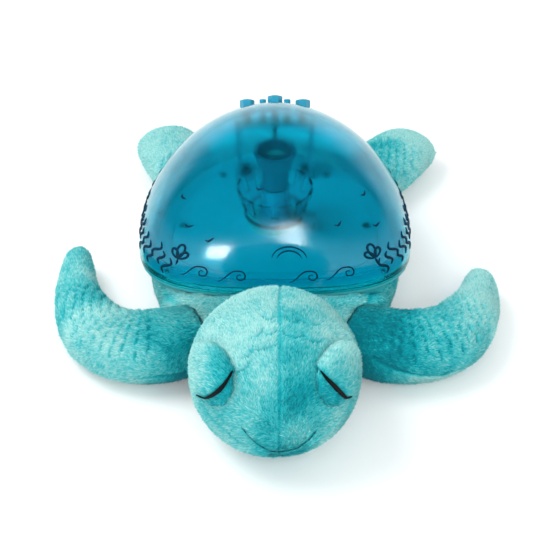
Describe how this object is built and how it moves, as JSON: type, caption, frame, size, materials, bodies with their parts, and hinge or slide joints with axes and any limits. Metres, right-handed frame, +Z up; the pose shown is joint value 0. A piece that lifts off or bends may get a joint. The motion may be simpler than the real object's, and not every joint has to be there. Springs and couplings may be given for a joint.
{
  "type": "turtle night light projector",
  "caption": "Stuffed sea turtle lying down with a translucent domed shell over a light tower with a turning ripple bowl, a button row and a battery base.",
  "frame": {"origin": "on the floor under the middle of the overall box", "axes": "+Z up, -Y toward the nose, +X toward the side that a viewer facing the turtle sees on the right"},
  "size_m": [0.3139, 0.3881, 0.12],
  "materials": {
    "shell": "gloss",
    "base": "satin",
    "buttons": "satin",
    "barrel": "satin",
    "bowl": "gloss",
    "lens": "polished",
    "gears": "satin",
    "board": "satin",
    "cable": "satin",
    "steel": "satin",
    "cells": "satin",
    "speaker": "satin",
    "plush": "matte",
    "plush_lid": "matte"
  },
  "bodies": {
    "root": {"shell_dome": "shell", "base_tray": "base", "deck_plate": "base", "switch_bracket": "base", "light_column": "barrel", "lens_barrel": "barrel", "projector_lens": "lens", "main_board": "board", "switch_board": "board", "led_board": "board", "spot_led": "board", "switch_cable": "cable", "board_screws": "steel", "bracket_screws": "steel", "shell_screws": "steel", "deck_screws": "steel", "motor": "steel", "battery_contacts": "steel", "battery_cell_1": "cells", "battery_cell_2": "cells", "battery_cell_3": "cells", "speaker": "speaker", "plush_body": "plush", "head": "plush", "front_flipper_left": "plush", "front_flipper_right": "plush", "rear_flipper_left": "plush", "rear_flipper_right": "plush", "eyelid_left": "plush_lid", "eyelid_right": "plush_lid"},
    "ripple": {"ripple_bowl": "bowl"},
    "idler": {"idler_gear": "gears"},
    "pinion": {"motor_pinion": "gears"},
    "door": {"battery_door": "base", "door_screw": "steel"},
    "large_button_left": {"large_button_left": "buttons"},
    "large_button_middle": {"large_button_middle": "buttons"},
    "large_button_right": {"large_button_right": "buttons"},
    "small_button_left": {"small_button_left": "buttons"},
    "small_button_right": {"small_button_right": "buttons"}
  },
  "joints": [
    {"name": "ripple_spin", "type": "hinge", "parent": "root", "child": "ripple", "pos_m": [0, 0.038, 0.05], "axis": [0, 0, 1], "continuous": true},
    {"name": "idler_spin", "type": "hinge", "parent": "root", "child": "idler", "pos_m": [0.02481, 0.02897, 0.035], "axis": [0, 0, 1], "continuous": true},
    {"name": "pinion_spin", "type": "hinge", "parent": "root", "child": "pinion", "pos_m": [0.03137, 0.01093, 0.034], "axis": [0, 0, 1], "continuous": true},
    {"name": "door_tilt", "type": "hinge", "parent": "root", "child": "door", "pos_m": [0, 0.05025, 0.00505], "axis": [-1, 0, 0], "range_deg": [0, 55]},
    {"name": "large_button_left_press", "type": "slide", "parent": "root", "child": "large_button_left", "axis": [0, -0.6157, -0.788], "range_m": [0, 0.0008], "stiffness_N_per_m": 600},
    {"name": "large_button_middle_press", "type": "slide", "parent": "root", "child": "large_button_middle", "axis": [0, -0.6157, -0.788], "range_m": [0, 0.0008], "stiffness_N_per_m": 600},
    {"name": "large_button_right_press", "type": "slide", "parent": "root", "child": "large_button_right", "axis": [0, -0.6157, -0.788], "range_m": [0, 0.0008], "stiffness_N_per_m": 600},
    {"name": "small_button_left_press", "type": "slide", "parent": "root", "child": "small_button_left", "axis": [0, -0.6157, -0.788], "range_m": [0, 0.0008], "stiffness_N_per_m": 400},
    {"name": "small_button_right_press", "type": "slide", "parent": "root", "child": "small_button_right", "axis": [0, -0.6157, -0.788], "range_m": [0, 0.0008], "stiffness_N_per_m": 400}
  ],
  "couplings": [
    {"joint": "idler_spin", "follows": "ripple_spin", "ratio": -4.5},
    {"joint": "pinion_spin", "follows": "ripple_spin", "ratio": 13.5}
  ]
}
